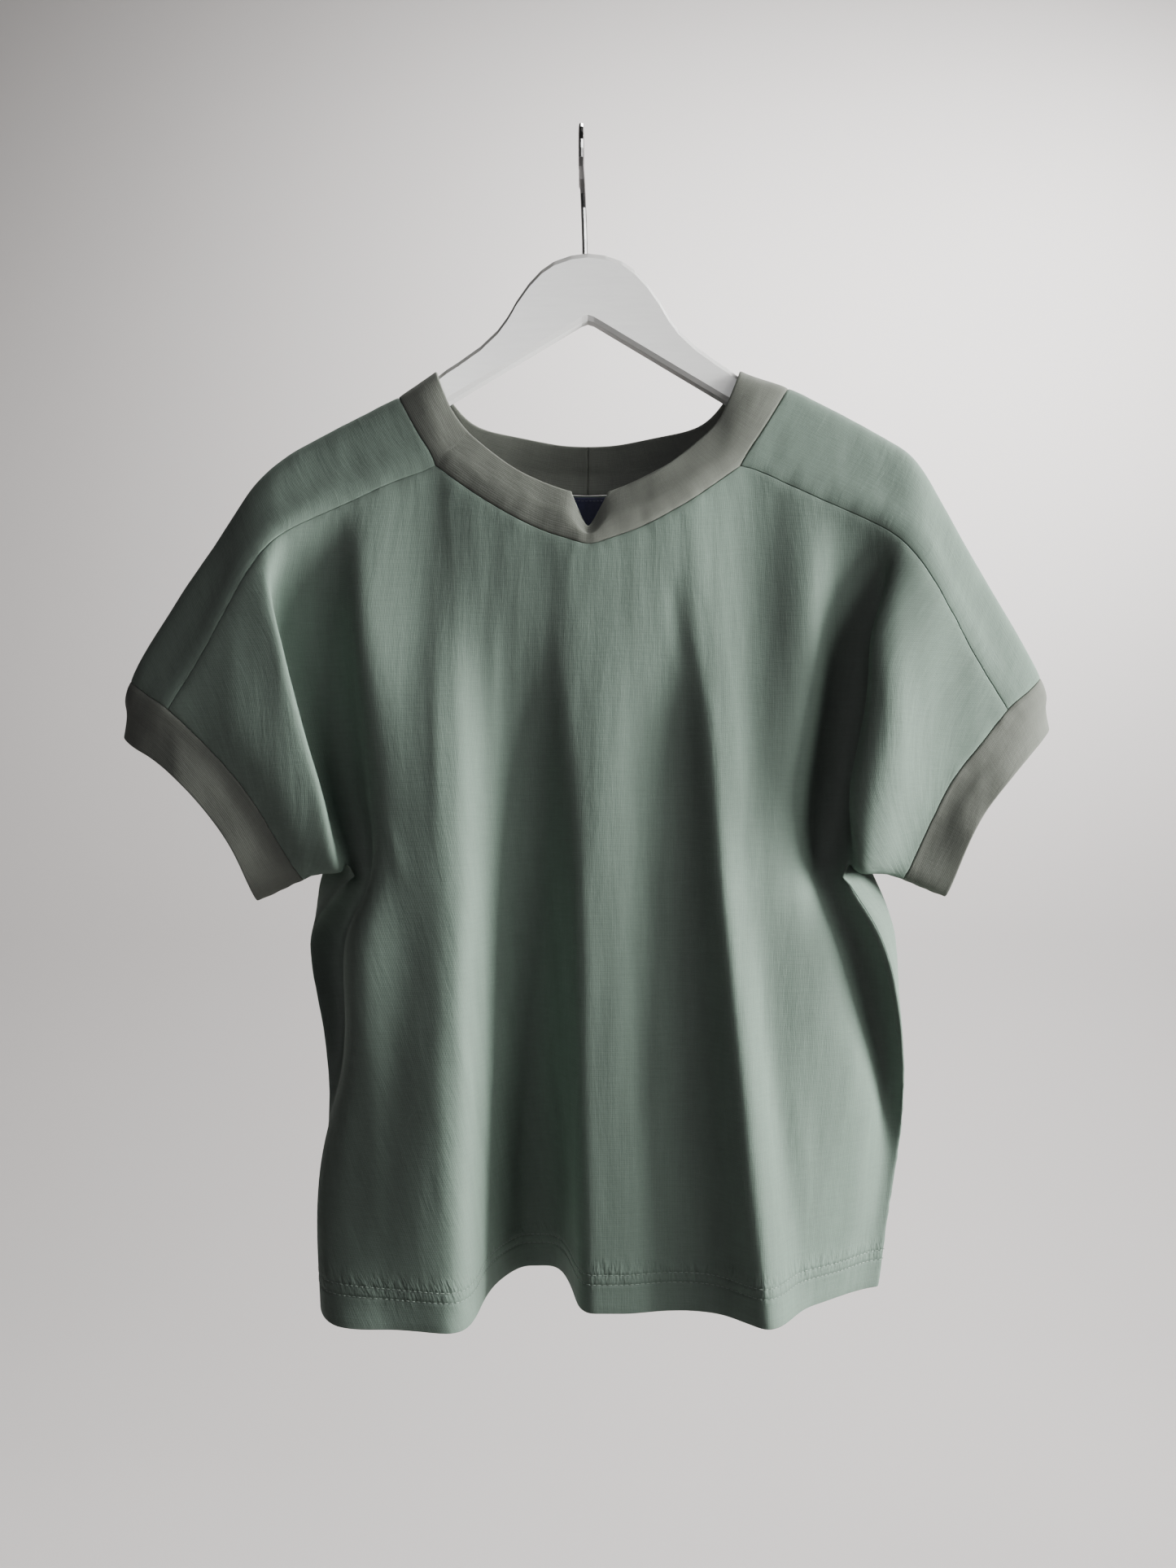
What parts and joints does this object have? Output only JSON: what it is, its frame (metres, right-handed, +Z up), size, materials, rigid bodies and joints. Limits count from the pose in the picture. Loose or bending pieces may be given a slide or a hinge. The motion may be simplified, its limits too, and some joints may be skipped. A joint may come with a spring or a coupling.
{
  "type": "t-shirt on hanger",
  "caption": "Boxy short-sleeved jersey t-shirt with cut-on sleeves, rib neckband with a front notch and rib cuffs, hanging in soft folds on a flat wooden hanger with a wire hook.",
  "frame": {"origin": "the inside of the hook's top, where it rests on its rod", "axes": "+Z up along the shirt's height, -Y out of the shirt's front, +X towards the wearer's left"},
  "size_m": [0.5974, 0.1575, 0.7441],
  "materials": {
    "jersey": "matt sage-green cotton jersey",
    "rib": "matt grey-green fine rib",
    "label": "woven navy tape, bare",
    "white_wood": "white satin paint, bare",
    "hook_wire": "bright chromed wire"
  },
  "bodies": {
    "root": {"front": "jersey", "back": "jersey", "shoulder_right": "jersey", "shoulder_left": "jersey", "neckband": "rib", "cuff_right": "rib", "cuff_left": "rib", "label": "label", "hanger_body": "white_wood", "hanger_hook": "hook_wire"}
  },
  "joints": []
}
